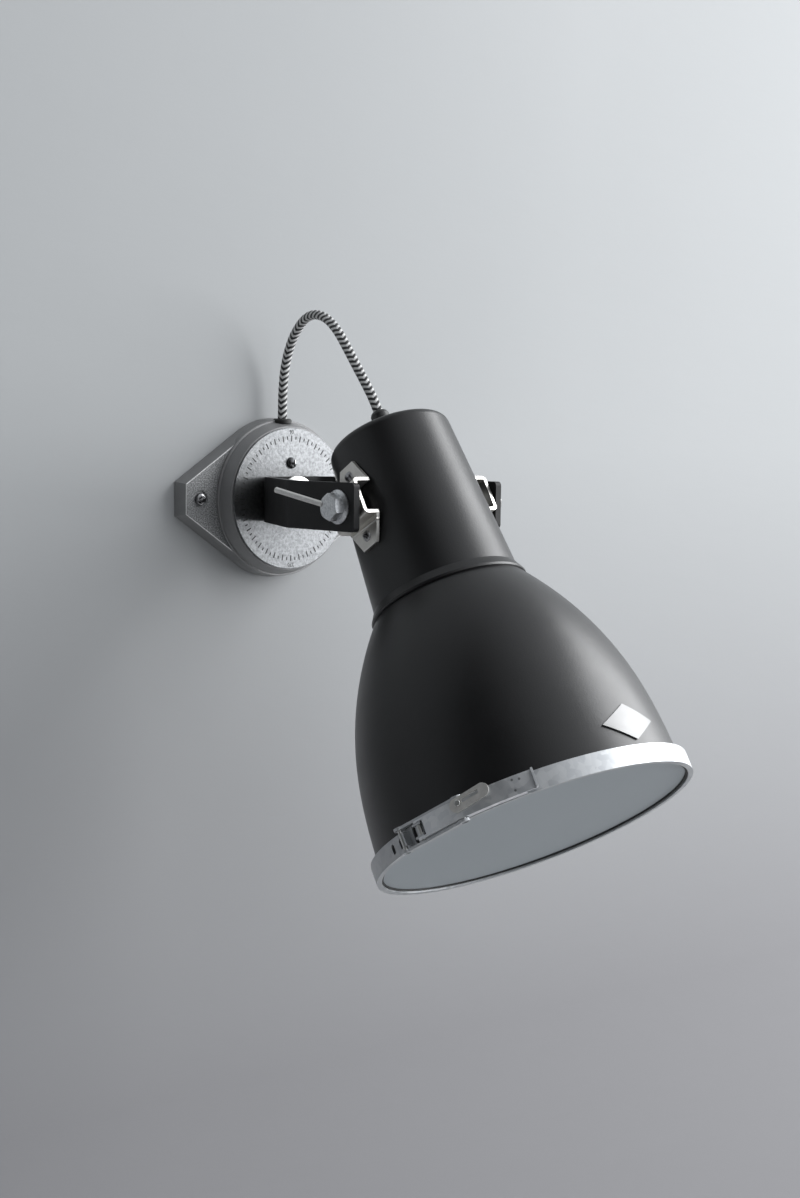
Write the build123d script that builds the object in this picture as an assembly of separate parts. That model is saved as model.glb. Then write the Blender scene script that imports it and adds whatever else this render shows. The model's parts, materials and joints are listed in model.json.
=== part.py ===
from build123d import *
from math import asin, atan2, cos, degrees, hypot, pi, radians, sin, sqrt, tan
import os

# Pivoting spotlight wall light, in millimetres.
# The wall is the plane Y = 0, the light stands out of it towards -Y, +X is to the right seen from the
# front and +Z is up. The origin is the centre of the base's back face.

# ---- fits ----
RUNNING = 0.05          # radial play of a pin or bolt that something turns on
CLEAR = 0.3             # play between pieces that move past each other
SEAT = 0.05             # play between curved faces that are clamped together
HOLE_PLAY = 0.3         # radial play of a screw in its clearance hole

# ---- wall base ----
FLANGE_R = 61.4
DRUM_FOOT_R = 60.2
DRUM_FOOT_T = 1.5       # small step round the drum's foot
DRUM_R = 58.6
DRUM_FRONT_R = 55.2
DRUM_DEPTH = 22.7
DRUM_EDGE_R = 0.8
DRUM_WALL = 6.0
SIDE_WALL = 3.7
FLANGE_T = 11.0
FLANGE_DRAFT = 14.0     # degrees
FLANGE_EDGE_R = 1.2
EAR_TIP = 90.8          # from the centre to the cut-off tip of an ear
EAR_HALF_TIP = 12.9
EAR_HOLE_SPACING = 150.0
EAR_HOLE_R = 2.75
SPOTFACE_R = 6.5
SPOTFACE_T = 0.8
SWIVEL_BOSS_R = 15.0
ENTRY_DEPTH = 12.0      # of the cord's entry from the wall
ENTRY_FLAT = 57.6       # height of the flat under the grommet
BLOCK_W = 36.0          # terminal block
BLOCK_H = 15.0
BLOCK_T = 10.5
BLOCK_DOWN = 33.0
EARTH_X = -34.0
EARTH_Z = 12.0
EARTH_R = 2.0
SLOT_W = 1.3            # screwdriver slots
SLOT_T = 1.4

# ---- dial ----
DIAL_R = 54.0
DIAL_T = 1.5
DIAL_CHAMFER = 0.3
TICK_OUT = 48.2
TICK_LONG = 4.6
TICK_SHORT = 2.4
TICK_W = 0.75
TICK_DEPTH = 0.4
TICKS = 36              # long ones, every ten degrees, with a short one between
DIAL_SCREW_AT = 27.3
DIAL_SCREW_R = 2.0
DIAL_HEAD_R = 4.5
DIAL_HEAD_T = 4.0

# ---- swivel on the dial ----
SWIVEL_R = 6.0          # M12
SWIVEL_DISC_R = 15.5
SWIVEL_DISC_T = 1.5
CAP_WASHER_R = 17.3
CAP_WASHER_H = 5.5
CAP_WASHER_T = 2.0
SWIVEL_NUT_AF = 19.0
SWIVEL_NUT_T = 10.0
SWIVEL_HEAD_T = 7.5
SWIVEL_TAIL = 4.0       # thread past the nut

# ---- yoke ----
BAR_W = 34.0
BAR_T = 5.0
WEB_HALF = 27.0
SPLAY_END = 111.0       # from the wall, where the arms turn parallel
PIVOT_OUT = 169.0       # from the wall to the tilt axis
ARM_TIP = 17.5          # past the tilt axis
BEND_R = 12.0
ARM_CORNER_R = 3.0

# ---- tilt hinge ----
HEAD_TILT = 31.5        # degrees from straight down, as it stands
BOLT_R = 5.0            # M10
BOLT_AF = 17.0
BOLT_HEAD_T = 7.0
BOLT_FLANGE_R = 12.0
BOLT_FLANGE_T = 2.0
BOLT_LENGTH = 15.5      # under the flange
NUT_T = 8.0
WASHER_R = 14.0
WASHER_T = 1.5
ROD_R = 2.0
ROD_LENGTH = 40.0
ROD_LEAN = 20.0         # degrees, out from the arm
ROD_RISE = 14.0         # degrees, above level
HAT_T = 2.5
HAT_STAND = 13.47       # web's face over the neck's side
HAT_W = 34.0
HAT_HALF = 14.0         # half the length of the raised web
FOOT_LENGTH = 18.0
FOOT_END_W = 15.5
HAT_PLAY = 0.2          # web to friction washer
CLAMP_PLAY = 0.1        # clamp bolt's flange to arm
FOOT_SCREW_AT = 23.5    # from the tilt axis
FOOT_SCREW_R = 2.0
FOOT_HEAD_R = 4.0
FOOT_HEAD_T = 2.6

# ---- neck housing (heights are measured along its axis from the tilt axis) ----
NECK_TOP = 55.5
NECK_TOP_R = 44.8
NECK_EDGE_R = 5.5
NECK_LOW = -78.5
NECK_LOW_R = 53.8
NECK_WALL = 2.0
JOINT_T = 2.0           # inner flanges that join neck and bell
JOINT_BORE_R = 41.0
JOINT_SCREW_AT = 46.5
JOINT_SCREW_R = 2.0
COLLAR_H = 8.5
COLLAR_R = 57.4
COLLAR_LIP = 2.4

# ---- bell shade ----
BELL_SHOULDER_R = 56.4
# down its side: share of the widening and share of the drop
BELL_SIDE = [(0.3093, 0.1453), (0.5817, 0.3123), (0.7782, 0.4824), (0.9027, 0.6524), (0.9689, 0.8225)]
BELL_WALL = 1.2
BELL_RIM = 3.4          # turned out into the ring

# ---- clamp ring, gasket and glass ----
RING_LOW = -251.0
RING_H = 13.0
RING_R = 113.0
RING_T = 1.2
RING_LIP = 3.6          # how far the lower lip reaches in
GASKET_T = 1.6
GASKET_LIP = 2.2
GASKET_UNDER = 1.1      # of rubber below the glass
GLASS_T = 4.4
HOOK_H = 5.5
HOLE_AT = (181.9, 186.9)    # two slots punched in the band beside the lock
HOLE_W = 3.2
HOLE_L = 6.6
HOOK_AT = 177.1

# ---- lever lock on the ring (angles run from +X round the front to -X) ----
GAP_FROM = 173.2
GAP_TO = 174.8
FULL_TURN = 360.0
PIN_RING_R = RING_R + 3.4      # of all three pins' axes round the shade's axis
PIVOT_AT = 170.0
LINK_AT = 154.0
BAIL_AT = 178.5
LOCK_PIN_R = 1.6
LEVER_OUT_R = PIN_RING_R + 3.6
LEVER_T = 1.3
LEVER_IN_R = RING_R + 0.5
LEVER_W = 12.4
LEVER_WEB_FROM = 167.0
LEVER_TO = 129.5
LEVER_TIP = 4.5         # out-bent finger tip
LEVER_EAR_R = PIN_RING_R - RING_R - 0.4
BAIL_T = 1.8
BAIL_W = 4.6
BAIL_EYE_R = 3.7
BAIL_DISH_R = 2.6       # round each end of the pins
BAIL_DISH_T = 0.7
BAIL_PLAY = 0.7
PIN_HOLLOW_R = 0.9      # rolled ends of the pins
PIN_HOLLOW_T = 2.0
EAR_T = 1.2
EAR_REACH = 2.6         # past the pivot pin's axis
EAR_SPAN = 5.0          # degrees
CATCH_AT = 153.2
CATCH_L = 28.7
CATCH_W = 9.0
CATCH_T = 1.2
CATCH_OVERHANG = 9.8    # rivet over the ring's lower face
CATCH_DROP = 0.8        # of the plate's middle under its rivet
CATCH_BACK = 6.2        # of the plate behind its rivet
CATCH_TURN = 6.5        # degrees, from the lever's edge as it rests
CATCH_SLOT_L = 13.0
CATCH_SLOT_W = 2.6
CATCH_SLOT_FROM = 2.6
CATCH_RIVET_R = 1.3
CATCH_HEAD_R = 2.1
CATCH_HEAD_T = 0.9

# ---- badge plate, left blank ----
BADGE_AT = 85.0
BADGE_UP = 31.0         # over the ring's lower face
BADGE_W = 49.0
BADGE_H = 26.0
BADGE_T = 0.8
BADGE_STAND = 0.4
BADGE_RIVET_R = 1.6
BADGE_SEAT = 0.02

# ---- lamp ----
HOLDER_R = 23.0
HOLDER_L = 46.0
HOLDER_BORE_R = 13.6    # E27
BRACKET_W = 22.0
BRACKET_T = 1.5
BRACKET_UP = 34.0
BRACKET_FOOT = 9.0
BULB_R = 32.0
BULB_CAP_R = 13.2
BULB_CAP_L = 26.0
BULB_L = 108.0

# ---- cord and its entries ----
CORD_D = 7.0
CORD_PLAY = 0.2         # radial, in the grommet and the grip
GROMMET_R = 7.2
GROMMET_T = 3.5
GROMMET_NECK_R = 4.9
GROMMET_BACK_R = 5.6    # of the lip behind the base's wall
GRIP_R = 6.8
GRIP_H = 22.0
GRIP_NECK_R = 5.5
GRIP_FOOT_H = 6.0
GRIP_AF = 17.0
# the cord's route in the plane X = 0, as (Y, Z)
CORD_ROUTE = [
    (-12.0, 56.0), (-12.0, 74.0), (-13.3, 93.0), (-18.0, 111.0), (-28.2, 127.8), (-43.8, 139.4),
    (-61.8, 138.6), (-77.6, 128.6), (-90.4, 114.2), (-102.0, 100.2), (-113.6, 86.6), (-123.54, 74.18),
    (-133.47, 57.98),
]

# ---- worked out ----
HOLLOW_R = DRUM_FRONT_R - SIDE_WALL
DIAL_FRONT = DRUM_DEPTH + DIAL_T
YOKE_BACK = DIAL_FRONT + SWIVEL_DISC_T + HAT_PLAY
YOKE_FRONT = YOKE_BACK + BAR_T
RING_TOP = RING_LOW + RING_H
RING_MID = RING_LOW + RING_H / 2
LIP_TOP = RING_TOP - RING_T
GASKET_R = RING_R - RING_T - SEAT
GASKET_TOP = LIP_TOP - BELL_WALL
GASKET_LOW = RING_LOW + RING_T
GLASS_R = GASKET_R - GASKET_T
GLASS_LOW = GASKET_LOW + GASKET_UNDER
BELL_TOP = NECK_LOW
BELL_LIP_R = RING_R - RING_T - 2 * CLEAR
BELL_END_R = BELL_LIP_R - BELL_RIM
BRACKET_TOP = NECK_LOW + JOINT_T + BRACKET_UP
HOLDER_LOW = BRACKET_TOP - BRACKET_T - HOLDER_L
NECK_SLOPE = (NECK_LOW_R - NECK_TOP_R) / (NECK_TOP - NECK_LOW)
HAT_OUT = NECK_TOP_R + NECK_TOP * NECK_SLOPE + HAT_STAND
ARM_IN = HAT_OUT + HAT_PLAY + WASHER_T
ARM_OUT = ARM_IN + BAR_T


def neck_radius(height):
    return NECK_TOP_R + (NECK_TOP - height) * NECK_SLOPE


# ---- placing ----
def outward(x, depth, z):
    """A frame on the wall side whose own Z points out of the wall."""
    return Pos(x, -depth, z) * Rot(90, 0, 0)


def on_head(shape):
    """From the head's upright frame, with the tilt axis at its origin, to where it stands."""
    return Pos(0, -PIVOT_OUT, 0) * Rot(-HEAD_TILT, 0, 0) * shape


def round_at(angle, radius, height):
    """A frame at an angle round the shade, its own X pointing straight out and its Z up the shade."""
    return Rot(0, 0, -angle) * Pos(radius, 0, height)


def swept(profile, start, end):
    """A profile in the XZ plane turned round the shade's axis from one angle to a smaller one."""
    return Rot(0, 0, -start) * revolve(profile, Axis.Z, revolution_arc=start - end)


def section(points):
    return make_face(Plane.XZ * Polyline(points, close=True))


def rect_section(r1, r2, z1, z2):
    return section([(r1, z1), (r2, z1), (r2, z2), (r1, z2)])


def turned(profile):
    return revolve(profile, Axis.Z)


def rod(radius, length):
    """A cylinder that starts at the origin and runs up Z."""
    return Cylinder(radius, length, align=(Align.CENTER, Align.CENTER, Align.MIN))


def hexagon(across_flats, height):
    return extrude(RegularPolygon(across_flats / 2, 6, major_radius=False), height)


def hex_nut(across_flats, height, bore):
    corner = across_flats / sqrt(3)
    block = hexagon(across_flats, height)
    bevel = section([(0, -1), (corner - 1.2, -1), (corner + 1.5, 1.6), (corner + 1.5, height - 1.2),
                     (corner - 1.0, height + 1), (0, height + 1)])
    return (block & turned(bevel)) - Pos(0, 0, -1) * rod(bore, height + 2)


def domed_screw(head_r, head_t, shank_r, shank_l, slot_angle=0.0):
    """Head up along Z from the origin, shank down, a slot across the head."""
    head = Sphere((head_r ** 2 + head_t ** 2) / (2 * head_t))
    ball_r = (head_r ** 2 + head_t ** 2) / (2 * head_t)
    head = (Pos(0, 0, head_t - ball_r) * head) & rod(head_r, head_t)
    slot = Pos(0, 0, head_t - SLOT_T / 2) * Rot(0, 0, slot_angle) * Box(2 * head_r, SLOT_W, SLOT_T)
    return head - slot + Pos(0, 0, -shank_l) * rod(shank_r, shank_l)


# ---- wall base and dial ----
def lozenge(grow=0.0):
    tip = EAR_TIP + grow
    ears = Pos(tip - 1, 0) * Rectangle(2, 2 * EAR_HALF_TIP) + Pos(1 - tip, 0) * Rectangle(2, 2 * EAR_HALF_TIP)
    return make_hull((Circle(FLANGE_R + grow) + ears).edges())


def wall_base():
    flange = extrude(lozenge(), FLANGE_T, taper=FLANGE_DRAFT)
    flange = fillet(flange.faces().sort_by(Axis.Z)[-1].edges(), FLANGE_EDGE_R)
    step = FLANGE_T + DRUM_FOOT_T
    drum = turned(section([(0, 0), (DRUM_FOOT_R, 0), (DRUM_FOOT_R, step - 0.4), (DRUM_FOOT_R - 0.4, step),
                           (DRUM_R, step), (DRUM_FRONT_R, DRUM_DEPTH), (0, DRUM_DEPTH)]))
    drum = fillet(drum.faces().sort_by(Axis.Z)[-1].edges(), DRUM_EDGE_R)
    body = flange + drum
    inside = rod(HOLLOW_R, DRUM_DEPTH - DRUM_WALL) - rod(SWIVEL_BOSS_R, DRUM_DEPTH)
    inside -= Pos(0, DIAL_SCREW_AT, 0) * rod(DIAL_SCREW_R + 3, DRUM_DEPTH)
    body -= inside
    body -= rod(SWIVEL_R + HOLE_PLAY, DRUM_DEPTH)
    body -= hexagon(SWIVEL_NUT_AF + 2 * HOLE_PLAY, SWIVEL_HEAD_T + CLEAR)
    body -= Pos(0, DIAL_SCREW_AT, 0) * rod(DIAL_SCREW_R + SEAT, DRUM_DEPTH)
    body -= Pos(EARTH_X, EARTH_Z, 0) * rod(EARTH_R + SEAT, DRUM_DEPTH - DRUM_WALL + 5.5)
    for side in (-1, 1):
        at = side * EAR_HOLE_SPACING / 2
        body -= Pos(at, 0, 0) * rod(EAR_HOLE_R, FLANGE_T)
        body -= Pos(at, 0, FLANGE_T - SPOTFACE_T) * rod(SPOTFACE_R, FLANGE_T)
    entry = Pos(0, 0, ENTRY_DEPTH) * Rot(-90, 0, 0) * rod(GROMMET_NECK_R + SEAT, FLANGE_R)
    entry += Pos(0, 0, ENTRY_DEPTH) * Rot(-90, 0, 0) * rod(GROMMET_BACK_R + CLEAR, HOLLOW_R)
    entry -= rod(HOLLOW_R - 12, DRUM_DEPTH)
    seat = Pos(0, ENTRY_FLAT, ENTRY_DEPTH) * Rot(-90, 0, 0) * rod(GROMMET_R + CLEAR, DRUM_DEPTH)
    return outward(0, 0, 0) * (body - entry - seat)


def dial_plate():
    plate = rod(DIAL_R, DIAL_T)
    plate = chamfer(plate.faces().sort_by(Axis.Z)[-1].edges(), DIAL_CHAMFER)
    plate -= rod(SWIVEL_R + HOLE_PLAY, DIAL_T)
    plate -= Pos(0, DIAL_SCREW_AT, 0) * rod(DIAL_SCREW_R + HOLE_PLAY, DIAL_T)
    marks = []
    for k in range(2 * TICKS):
        length = TICK_LONG if k % 2 == 0 else TICK_SHORT
        centre = TICK_OUT - TICK_LONG / 2 if k % 2 == 0 else TICK_OUT - 0.6 - length / 2
        mark = Pos(centre, 0, DIAL_T) * Box(length, TICK_W, 2 * TICK_DEPTH)
        marks.append(Rot(0, 0, 180.0 * k / TICKS) * mark)
    return outward(0, DRUM_DEPTH, 0) * (plate - marks)


def dial_screw():
    """Holds the dial, and its proud head is the yoke's stop either way."""
    screw = domed_screw(DIAL_HEAD_R, DIAL_HEAD_T, DIAL_SCREW_R, DIAL_T + DRUM_WALL + 3, 90)
    return outward(0, DIAL_FRONT, DIAL_SCREW_AT) * screw


# ---- swivel ----
def swivel_bolt():
    length = YOKE_FRONT + CAP_WASHER_H + SWIVEL_NUT_T + SWIVEL_TAIL
    shank = chamfer(rod(SWIVEL_R, length).faces().sort_by(Axis.Z)[-1].edges(), 1)
    return outward(0, 0, 0) * (shank + hexagon(SWIVEL_NUT_AF, SWIVEL_HEAD_T))


def swivel_friction_disc():
    return outward(0, DIAL_FRONT, 0) * (rod(SWIVEL_DISC_R, SWIVEL_DISC_T) - rod(SWIVEL_R + HOLE_PLAY, 9))


def swivel_cap_washer():
    nut_r = SWIVEL_NUT_AF / 2 + 1
    low = HAT_PLAY
    outer = section([(SWIVEL_R + HOLE_PLAY, CAP_WASHER_H - CAP_WASHER_T), (nut_r - 1, CAP_WASHER_H - CAP_WASHER_T),
                     (CAP_WASHER_R - 3, low), (CAP_WASHER_R, low), (CAP_WASHER_R, low + 1.4),
                     (nut_r, CAP_WASHER_H), (SWIVEL_R + HOLE_PLAY, CAP_WASHER_H)])
    return outward(0, YOKE_FRONT, 0) * turned(outer)


def swivel_nut():
    return outward(0, YOKE_FRONT + CAP_WASHER_H, 0) * hex_nut(SWIVEL_NUT_AF, SWIVEL_NUT_T, SWIVEL_R + RUNNING)


# ---- inside the base ----


def terminal_block():
    floor = DRUM_DEPTH - DRUM_WALL
    block = Box(BLOCK_W, BLOCK_H, BLOCK_T - 3, align=(Align.CENTER, Align.CENTER, Align.MAX))
    for k in (-1, 0, 1):
        at = k * BLOCK_W / 3
        block += Pos(at, 0, 0) * Box(BLOCK_W / 3 - 3, BLOCK_H - 4, BLOCK_T,
                                     align=(Align.CENTER, Align.CENTER, Align.MAX))
        block -= Pos(at, 0, -BLOCK_T / 2) * Rot(90, 0, 0) * Cylinder(1.6, BLOCK_H + 1)
        for side in (-1, 1):
            block -= Pos(at, side * 3.4, -BLOCK_T) * rod(1.3, 3)
    return outward(0, floor, 0) * Pos(0, -BLOCK_DOWN, 0) * block


def earth_screw():
    """On the front wall of the base's hollow, its head to the wall side."""
    screw = domed_screw(4.0, 2.4, EARTH_R, 5.0) + (rod(4.8, 1.0) - rod(EARTH_R, 1.0))
    return outward(EARTH_X, DRUM_DEPTH - DRUM_WALL, EARTH_Z) * Rot(180, 0, 0) * screw


# ---- yoke ----
def yoke():
    mid = YOKE_BACK + BAR_T / 2
    arm = ARM_OUT - BAR_T / 2
    tip = PIVOT_OUT + ARM_TIP
    path = FilletPolyline((-arm, -tip), (-arm, -SPLAY_END), (-WEB_HALF, -mid), (WEB_HALF, -mid),
                          (arm, -SPLAY_END), (arm, -tip), radius=BEND_R)
    bar = Pos(0, 0, -BAR_W / 2) * extrude(trace(path, line_width=BAR_T), BAR_W)
    corners = [e for e in bar.edges().filter_by(Axis.X) if e.center().Y < 0.1 - tip]
    bar = fillet(corners, ARM_CORNER_R)
    bar -= outward(0, 0, 0) * rod(SWIVEL_R + RUNNING, YOKE_FRONT + 5)
    bar -= Pos(0, -PIVOT_OUT, 0) * Rot(0, 90, 0) * Cylinder(BOLT_R + HOLE_PLAY, 2 * ARM_OUT + 2)
    return bar


def pivot_washers():
    ring = rod(WASHER_R, WASHER_T) - rod(BOLT_R + HOLE_PLAY, WASHER_T)
    return [Pos(side * ARM_IN, -PIVOT_OUT, 0) * Rot(0, -90 * side, 0) * ring for side in (-1, 1)]


def flange_bolt():
    """Head up along Z, the flange's under face at the origin."""
    corner = BOLT_AF / sqrt(3)
    head = Pos(0, 0, BOLT_FLANGE_T) * hexagon(BOLT_AF, BOLT_HEAD_T)
    top = BOLT_FLANGE_T + BOLT_HEAD_T
    crown = section([(0, 0), (corner + 2, 0), (corner + 2, top - 2.0), (corner - 1.2, top), (0, top)])
    head = head & turned(crown)
    skirt = turned(section([(0, 0), (BOLT_FLANGE_R, 0), (BOLT_FLANGE_R, 0.8), (corner, BOLT_FLANGE_T + 0.6),
                            (0, BOLT_FLANGE_T + 0.6)]))
    shank = chamfer(rod(BOLT_R, BOLT_LENGTH).faces().sort_by(Axis.Z)[-1].edges(), 0.8)
    return head + skirt + Rot(180, 0, 0) * shank


def pivot_bolt_right():
    return Pos(ARM_OUT, -PIVOT_OUT, 0) * Rot(0, 90, 0) * Rot(0, 0, 12) * flange_bolt()


def clamp_bolt():
    return Pos(-ARM_OUT - CLAMP_PLAY, -PIVOT_OUT, 0) * Rot(0, -90, 0) * Rot(0, 0, 8) * flange_bolt()


def clamp_rod():
    """Welded to a flat of the clamp bolt's head, leaning out from the arm and towards the wall."""
    start = BOLT_AF / 2 - 1.0
    middle = BOLT_FLANGE_T + BOLT_HEAD_T / 2
    head_x = -ARM_OUT - CLAMP_PLAY - middle
    along = Rot(ROD_RISE, 0, 0) * Rot(0, 0, ROD_LEAN) * Pos(0, start, 0) * Rot(-90, 0, 0)
    bar = chamfer(rod(ROD_R, ROD_LENGTH).faces().sort_by(Axis.Z)[-1].edges(), 0.4)
    bar = Pos(head_x, -PIVOT_OUT, 0) * along * bar
    return bar - clamp_bolt()


# ---- neck housing ----
def neck_housing():
    outer = section([(0, NECK_LOW), (NECK_LOW_R, NECK_LOW), (NECK_TOP_R, NECK_TOP), (0, NECK_TOP)])
    shell = turned(outer)
    shell = fillet(shell.faces().sort_by(Axis.Z)[-1].edges(), NECK_EDGE_R)
    top = NECK_TOP - NECK_WALL
    hollow = turned(section([(0, NECK_LOW + JOINT_T), (NECK_LOW_R - NECK_WALL, NECK_LOW + JOINT_T),
                             (NECK_TOP_R - NECK_WALL, top), (0, top)]))
    hollow = fillet(hollow.faces().sort_by(Axis.Z)[-1].edges(), NECK_EDGE_R - NECK_WALL)
    shell -= hollow
    shell -= Pos(0, 0, NECK_LOW) * rod(JOINT_BORE_R, JOINT_T)
    shell -= Pos(0, 0, top) * rod(GRIP_NECK_R + SEAT, NECK_WALL)
    shell -= [loc * rod(JOINT_SCREW_R + SEAT, JOINT_T) for loc in joint_screw_places(NECK_LOW)]
    shell -= [loc * Pos(0, 0, -8) * rod(FOOT_SCREW_R + SEAT, 16) for loc in foot_screw_places()]
    return on_head(shell)


def joint_screw_places(height):
    return [Rot(0, 0, 90 + 120 * k) * Pos(JOINT_SCREW_AT, 0, height) for k in range(3)]


def foot_screw_places():
    """On the neck's surface, four places whose own Z points straight out of it."""
    slope = degrees(atan2(NECK_SLOPE, 1))
    places = []
    for side in (-1, 1):
        for height in (-FOOT_SCREW_AT, FOOT_SCREW_AT):
            at = Pos(side * neck_radius(height), 0, height)
            places.append(at * Rot(0, side * (90 - slope), 0))
    return places


def neck_slab(inner, outer, low, high):
    """A flat slab beside the neck's right, between two distances from its side line."""
    outline = Polyline((neck_radius(low) + inner, low), (neck_radius(low) + outer, low),
                       (neck_radius(high) + outer, high), (neck_radius(high) + inner, high), close=True)
    return extrude(Plane.XZ * make_face(outline), HAT_W, both=True)


def hinge_bracket(side):
    """A strip bent like a hat: raised web for the hinge bolt, two tapered feet screwed to the neck."""
    reach = HAT_HALF + FOOT_LENGTH
    half = HAT_W / 2
    outline = Polyline((-half, -HAT_HALF), (-FOOT_END_W / 2, -reach), (FOOT_END_W / 2, -reach), (half, -HAT_HALF),
                       (half, HAT_HALF), (FOOT_END_W / 2, reach), (-FOOT_END_W / 2, reach), (-half, HAT_HALF),
                       close=True)
    blank = extrude(Plane.YZ * make_face(outline), HAT_OUT)
    feet = blank & neck_slab(SEAT, SEAT + HAT_T, -reach - 1, reach + 1)
    feet -= Pos(HAT_OUT / 2, 0, 0) * Box(HAT_OUT, HAT_W + 2, 2 * (HAT_HALF - HAT_T))
    channel = Box(HAT_OUT, HAT_W, 2 * HAT_HALF, align=(Align.MIN, Align.CENTER, Align.CENTER))
    channel = fillet([e for e in channel.edges().filter_by(Axis.Y) if e.center().X > 1], HAT_T * 1.4)
    bore = Box(HAT_OUT - HAT_T, HAT_W, 2 * (HAT_HALF - HAT_T), align=(Align.MIN, Align.CENTER, Align.CENTER))
    bore = fillet([e for e in bore.edges().filter_by(Axis.Y) if e.center().X > 1], HAT_T * 0.4)
    channel -= bore
    channel -= neck_slab(-HAT_OUT, SEAT, -reach, reach)
    hat = channel + feet
    hat -= Rot(0, 90, 0) * rod(BOLT_R + HOLE_PLAY, HAT_OUT + 1)
    if side < 0:
        hat = mirror(hat, Plane.YZ)
    hat -= [loc * Pos(0, 0, -2) * rod(FOOT_SCREW_R + HOLE_PLAY, 9) for loc in foot_screw_places()]
    return on_head(hat)


def hinge_nuts():
    nut = hex_nut(BOLT_AF, NUT_T, BOLT_R + RUNNING)
    inner = HAT_OUT - HAT_T
    return [on_head(Pos(side * inner, 0, 0) * Rot(0, -90 * side, 0) * nut) for side in (-1, 1)]


def bracket_screws():
    one = domed_screw(FOOT_HEAD_R, FOOT_HEAD_T, FOOT_SCREW_R, SEAT + HAT_T + NECK_WALL + 4.5, 35)
    return [on_head(loc * Pos(0, 0, SEAT + HAT_T) * one) for loc in foot_screw_places()]


def bracket_nuts():
    nut = hex_nut(7.0, 3.2, FOOT_SCREW_R + RUNNING)
    return [on_head(loc * Pos(0, 0, -NECK_WALL - 0.6 - 3.2) * nut) for loc in foot_screw_places()]


# ---- cord entries ----
def cord_grip():
    bore = CORD_D / 2 + CORD_PLAY
    body = turned(section([(GRIP_R, GRIP_FOOT_H), (GRIP_R, GRIP_H - 2.6), (GRIP_R - 0.8, GRIP_H - 0.9),
                           (GRIP_R - 1.8, GRIP_H), (bore, GRIP_H), (bore, -9), (GRIP_NECK_R, -9),
                           (GRIP_NECK_R, 0), (GRIP_NECK_R, GRIP_FOOT_H)]))
    foot = hexagon(GRIP_AF, GRIP_FOOT_H) - Pos(0, 0, -1) * rod(GRIP_NECK_R - 0.5, GRIP_FOOT_H + 2)
    return on_head(Pos(0, 0, NECK_TOP) * (body + foot))


def cord_grip_nut():
    nut = hex_nut(GRIP_AF + 1, 4.0, GRIP_NECK_R + RUNNING)
    return on_head(Pos(0, 0, NECK_TOP - NECK_WALL - 4.0) * nut)


def base_grommet():
    inner = HOLLOW_R
    floor = ENTRY_FLAT
    bore = CORD_D / 2 + CORD_PLAY
    ring = turned(section([(bore, inner - 2.2), (GROMMET_BACK_R, inner - 1.8), (GROMMET_BACK_R, inner - 0.6),
                           (GROMMET_NECK_R, inner - 0.6), (GROMMET_NECK_R, floor), (GROMMET_R, floor),
                           (GROMMET_R, floor + GROMMET_T - 1.2), (GROMMET_R - 1.2, floor + GROMMET_T),
                           (bore, floor + GROMMET_T)]))
    return Pos(0, -ENTRY_DEPTH, 0) * ring


def jumper_cord():
    points = [Vector(0, y, z) for y, z in CORD_ROUTE]
    runs = [b - a for a, b in zip(points, points[1:])]
    radii = []
    for before, after in zip(runs, runs[1:]):
        turn = radians(before.get_angle(after))
        radii.append(0.45 * min(before.length, after.length) / tan(turn / 2))
    path = FilletPolyline(*points, radius=radii)
    tube = sweep(Plane(points[0], z_dir=runs[0]) * Circle(CORD_D / 2), path)
    expected = path.length * pi * CORD_D ** 2 / 4
    print("cord length", round(path.length, 1), "radii", [round(r, 1) for r in radii])
    print("cord volume over section times length", round(tube.volume / expected, 4))
    return tube


# ---- bell shade ----
def bell_line(inset):
    """Points down the bell's side, from its shoulder to the ring, pushed in by a wall."""
    wider = BELL_END_R - BELL_SHOULDER_R
    drop = BELL_TOP - GASKET_TOP - BELL_WALL
    shares = [(0, 0)] + BELL_SIDE + [(1, 1)]
    return [(BELL_SHOULDER_R + out * wider - inset, BELL_TOP - down * drop) for out, down in shares]


def bell_shell():
    near, far = bell_line(BELL_WALL), bell_line(0)
    side = [Spline(*near), Line(near[-1], far[-1]), Spline(*far[::-1]), Line(far[0], near[0])]
    return turned(make_face(Plane.XZ * Wire(side)))


def bell_fill(stand):
    """Everything inside the bell's side moved out by a distance."""
    line = bell_line(-stand)
    top, low = line[0], line[-1]
    side = [Spline(*line), Line(low, (0, low[1])), Line((0, low[1]), (0, top[1])), Line((0, top[1]), top)]
    return turned(make_face(Plane.XZ * Wire(side)))


def shade_bell():
    low, high = BELL_TOP - JOINT_T, BELL_TOP
    bell = bell_shell()
    bell += turned(rect_section(JOINT_BORE_R, BELL_SHOULDER_R, low, high))
    bell += turned(rect_section(BELL_END_R - BELL_WALL, BELL_LIP_R, GASKET_TOP, GASKET_TOP + BELL_WALL))
    seat_r = neck_radius(NECK_LOW) + 2 * SEAT
    top_r = neck_radius(NECK_LOW + COLLAR_H) + 2 * SEAT
    bell += turned(section([(seat_r, high), (COLLAR_R - 1, high), (COLLAR_R, high + 0.8),
                            (COLLAR_R, high + COLLAR_LIP), (top_r + 0.7, high + COLLAR_H), (top_r, high + COLLAR_H)]))
    bell -= [loc * rod(JOINT_SCREW_R + HOLE_PLAY, JOINT_T) for loc in joint_screw_places(low)]
    return on_head(bell)


def joint_screws():
    one = Rot(180, 0, 0) * domed_screw(3.6, 2.4, JOINT_SCREW_R, 2 * JOINT_T + 4)
    return [on_head(loc * one) for loc in joint_screw_places(BELL_TOP - JOINT_T)]


def joint_nuts():
    nut = hex_nut(7.0, 3.2, JOINT_SCREW_R + RUNNING)
    return [on_head(loc * nut) for loc in joint_screw_places(NECK_LOW + JOINT_T)]


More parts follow.
